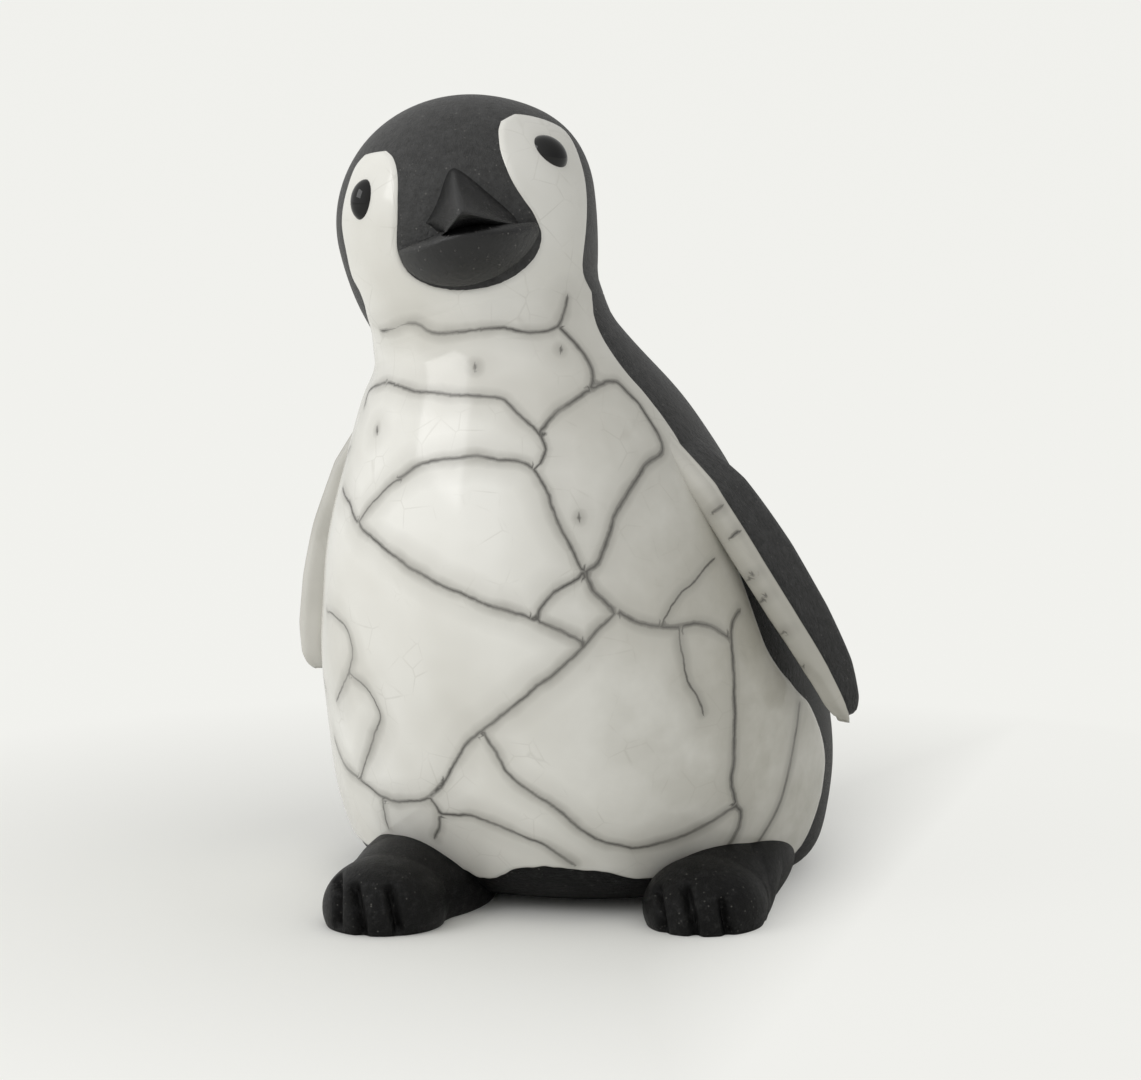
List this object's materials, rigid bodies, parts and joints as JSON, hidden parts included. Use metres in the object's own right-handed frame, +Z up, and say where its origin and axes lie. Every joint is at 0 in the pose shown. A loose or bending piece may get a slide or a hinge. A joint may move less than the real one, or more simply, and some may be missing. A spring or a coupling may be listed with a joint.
{
  "type": "penguin figurine",
  "caption": "Standing penguin chick ornament in smoke-blackened clay with a white crackle-glazed front, its head tilted to one side.",
  "frame": {"origin": "middle of the bounding box's footprint, on the plane that the feet and the base stand on", "axes": "+Z up, the belly faces -Y, the figure's left side is +X; the head is turned and tilted as a whole"},
  "size_m": [0.0758, 0.085, 0.1025],
  "materials": {
    "black_clay": "matte",
    "burnished_clay": "satin",
    "crackle_glaze": "gloss",
    "eye_glaze": "gloss"
  },
  "bodies": {
    "root": {"body": "black_clay", "body_glaze": "crackle_glaze", "head": "black_clay", "head_glaze": "crackle_glaze", "upper_beak": "burnished_clay", "lower_beak": "burnished_clay", "left_eye": "eye_glaze", "right_eye": "eye_glaze", "left_flipper": "black_clay", "left_flipper_glaze": "crackle_glaze", "right_flipper": "black_clay", "right_flipper_glaze": "crackle_glaze", "left_foot": "black_clay", "right_foot": "black_clay", "tail": "black_clay"}
  },
  "joints": []
}
